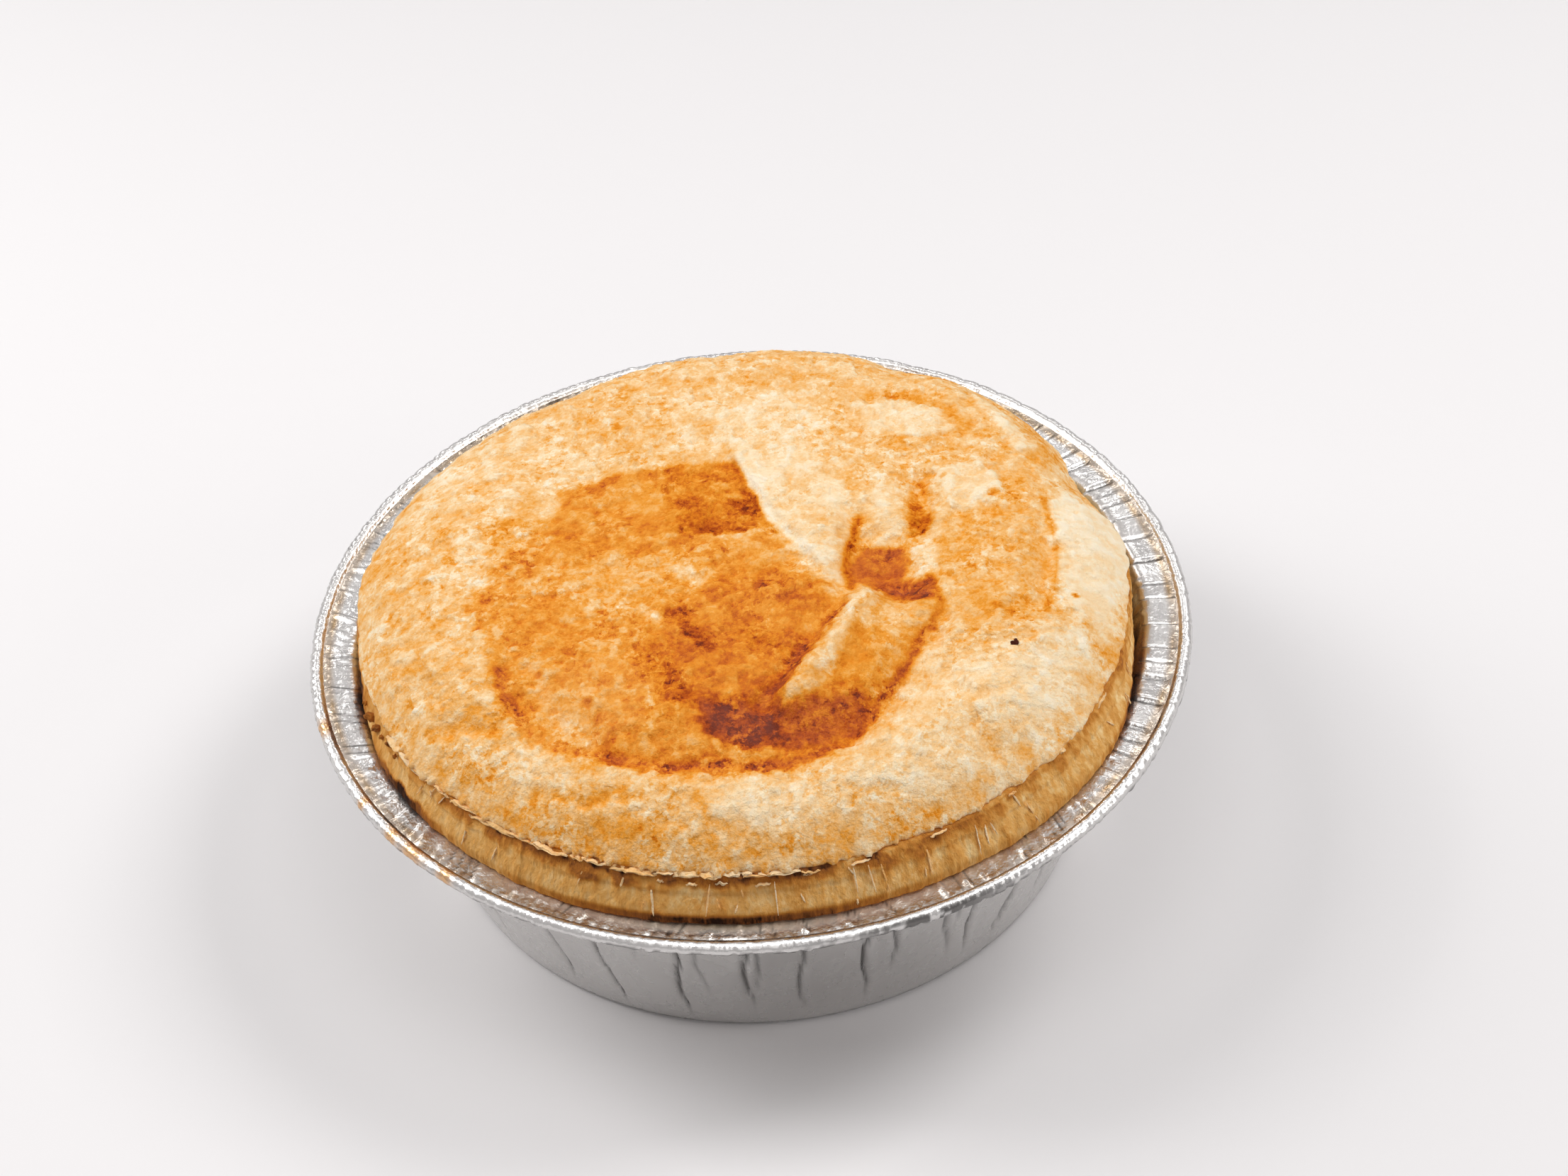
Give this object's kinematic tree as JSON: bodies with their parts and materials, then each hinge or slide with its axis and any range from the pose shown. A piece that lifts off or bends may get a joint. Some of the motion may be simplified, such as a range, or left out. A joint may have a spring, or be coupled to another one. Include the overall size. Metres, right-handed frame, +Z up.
{
  "type": "chicken and mushroom pie in a foil dish",
  "caption": "Round baked pie with a golden pillowed lid, a sunken gravy-stained patch and a flaky seam, standing in a crimped foil dish with a rolled rim.",
  "frame": {"origin": "on the dish's axis, at the surface the dish stands on", "axes": "+Z up; the front of the pie faces -Y, as in the picture"},
  "size_m": [0.118, 0.118, 0.0469],
  "materials": {
    "crust": null,
    "foil": "thin bright foil, crimped and creased"
  },
  "bodies": {
    "root": {"pie": "crust", "foil_dish": "foil"}
  },
  "joints": []
}
